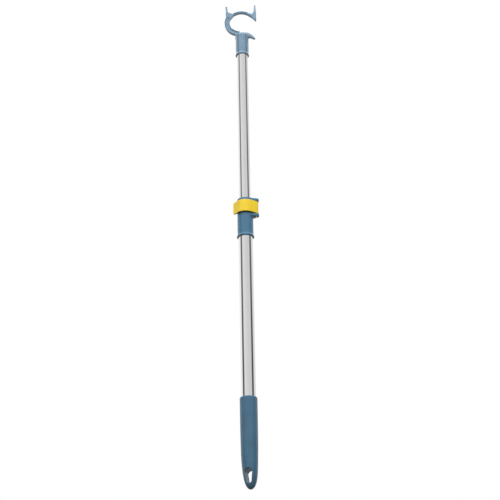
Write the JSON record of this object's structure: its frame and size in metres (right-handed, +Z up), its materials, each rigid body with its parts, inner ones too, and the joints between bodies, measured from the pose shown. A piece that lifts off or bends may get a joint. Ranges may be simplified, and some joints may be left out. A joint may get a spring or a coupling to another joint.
{
  "type": "telescopic hanger pole",
  "caption": "Telescopic steel pole with a hooked fork head, a cam lever clamp and a handle with a hanging eye, for lifting hangers to a high rail.",
  "frame": {"origin": "on the pole's axis at the middle of the hand grip, 80 mm above the handle's tip", "axes": "+Z up the pole to the hooked head, +X towards the open mouth of the hook and the clamp's pin, -Y the front that the lever wraps round"},
  "size_m": [0.0528, 0.0283, 0.815],
  "materials": {
    "head_plastic": "moulded, glossy, light blue",
    "collar_plastic": "moulded, glossy, mid blue",
    "handle_plastic": "moulded, satin, dark blue",
    "lever_plastic": "moulded, glossy, warm yellow",
    "stainless": "polished stainless tube with fine drawing lines",
    "pin_steel": "bright steel",
    "inner_plastic": "moulded, dark grey",
    "pad_rubber": "hard rubber, matte"
  },
  "bodies": {
    "handle_section": {"handle": "handle_plastic", "handle_plug": "inner_plastic", "handle_screw": "pin_steel", "lower_tube": "stainless", "mouth_bush": "inner_plastic", "clamp_collar": "collar_plastic", "collar_screw": "pin_steel", "pivot_pin": "pin_steel", "push_nut": "pin_steel"},
    "clamp_lever": {"cam_lever": "lever_plastic"},
    "clamp_pad": {"brake_pad": "pad_rubber"},
    "slider": {"guide_plug": "inner_plastic"},
    "upper_section": {"upper_tube": "stainless", "fork_head": "head_plastic", "head_screw": "pin_steel"}
  },
  "joints": [
    {"name": "extend_slide", "type": "slide", "parent": "handle_section", "child": "slider", "axis": [0, 0, 1], "range_m": [-0.26, 0.075]},
    {"name": "head_turn", "type": "hinge", "parent": "slider", "child": "upper_section", "pos_m": [0, 0, 0.239], "axis": [0, 0, 1], "continuous": true},
    {"name": "lever_swing", "type": "hinge", "parent": "handle_section", "child": "clamp_lever", "pos_m": [0.0172, -0.002, 0.356], "axis": [0, 0, 1], "range_deg": [0, 140]},
    {"name": "pad_press", "type": "slide", "parent": "handle_section", "child": "clamp_pad", "axis": [1, 0, 0], "range_m": [0, 0.0003]}
  ],
  "couplings": [
    {"joint": "pad_press", "follows": "lever_swing", "m_per_rad": 0.00012}
  ]
}
